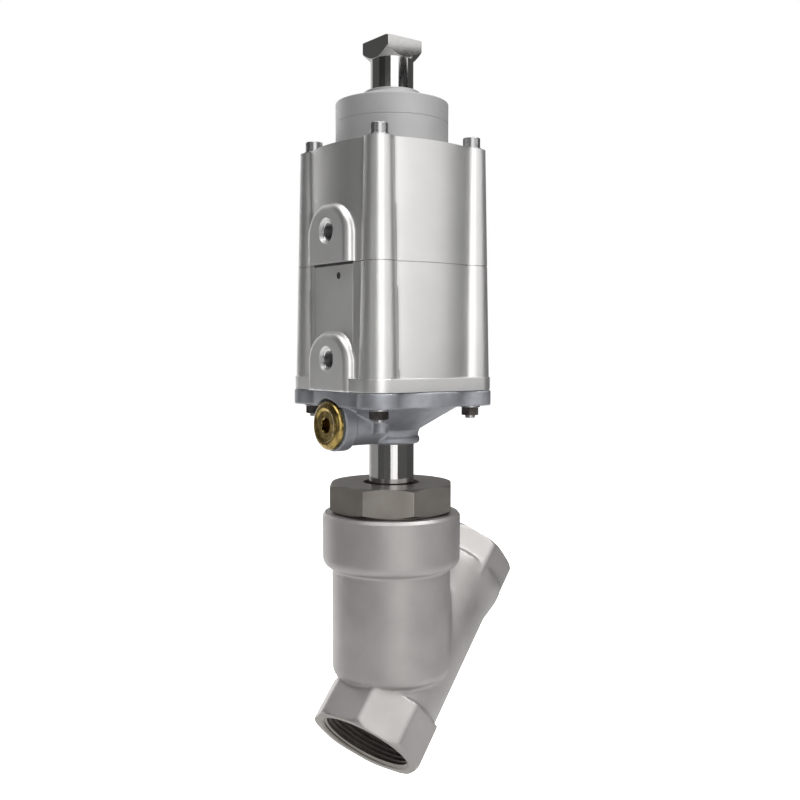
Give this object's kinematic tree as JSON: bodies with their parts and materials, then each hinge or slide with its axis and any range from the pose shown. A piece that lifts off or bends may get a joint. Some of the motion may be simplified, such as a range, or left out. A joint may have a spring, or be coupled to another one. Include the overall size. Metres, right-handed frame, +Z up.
{
  "type": "angle seat globe valve",
  "caption": "Angle seat globe valve with threaded inclined body, octagonal bonnet, polished neck and a square ribbed air cylinder with a sprung piston.",
  "frame": {"origin": "on the flow axis, 3 mm inside the end face of the lower threaded mouth, where the full core of its thread has begun", "axes": "+Z up along the spindle axis; the flow axis lies in the XZ plane, 45 degrees from the spindle, and runs from the lower mouth at the origin towards +X and +Z to the upper mouth"},
  "size_m": [0.1276, 0.089, 0.3672],
  "materials": {
    "cast_stainless": "bead-blasted casting",
    "turned_stainless": "satin turned and milled",
    "polished_stainless": "mirror polished",
    "satin_aluminium": "satin, lightly blasted",
    "cast_aluminium": "fine cast skin, blue-grey",
    "cap_aluminium": "matte blasted",
    "zinc_plate_yellow": "yellow passivated zinc plate",
    "screw_steel": "bright zinc plate",
    "spring_steel": "drawn wire, oiled",
    "ptfe_white": "matte",
    "bush_polymer": "matte",
    "seal_rubber": "matte",
    "gasket_fibre": "matte pressed sheet",
    "bronze": "turned"
  },
  "bodies": {
    "housing": {"valve_body": "cast_stainless", "bonnet": "turned_stainless", "bonnet_gasket": "ptfe_white", "stem_wiper": "seal_rubber", "neck_tube": "polished_stainless", "packing_foot_ring": "ptfe_white", "packing_rings": "ptfe_white", "packing_head_ring": "ptfe_white", "packing_springs": "spring_steel", "packing_sleeve": "turned_stainless", "stem_bush": "bronze", "actuator_base": "cast_aluminium", "base_seal": "seal_rubber", "stem_seal": "seal_rubber", "stem_seal_keeper": "turned_stainless", "plug": "zinc_plate_yellow", "plug_gasket": "gasket_fibre", "lower_cylinder": "satin_aluminium", "joint_seal": "seal_rubber", "upper_cylinder": "satin_aluminium", "cap": "cap_aluminium", "cap_seal": "seal_rubber", "cap_bush": "bush_polymer", "cap_seal_ring": "seal_rubber", "rod_wiper": "seal_rubber", "return_spring": "spring_steel", "tie_bolts": "screw_steel", "tie_nuts": "screw_steel", "tie_washers": "screw_steel"},
    "spindle": {"stem": "polished_stainless", "top_spindle": "polished_stainless", "piston": "cast_aluminium", "piston_seals": "seal_rubber", "guide_ring": "bush_polymer", "piston_stem_seal": "seal_rubber", "disc": "turned_stainless", "disc_seal": "ptfe_white", "disc_keeper": "turned_stainless", "disc_nut": "turned_stainless"}
  },
  "joints": [
    {"name": "stem_travel", "type": "slide", "parent": "housing", "child": "spindle", "axis": [0, 0, 1], "range_m": [0, 0.016], "stiffness_N_per_m": 6200, "springref_m": -0.04, "deforming": ["return_spring"]}
  ]
}
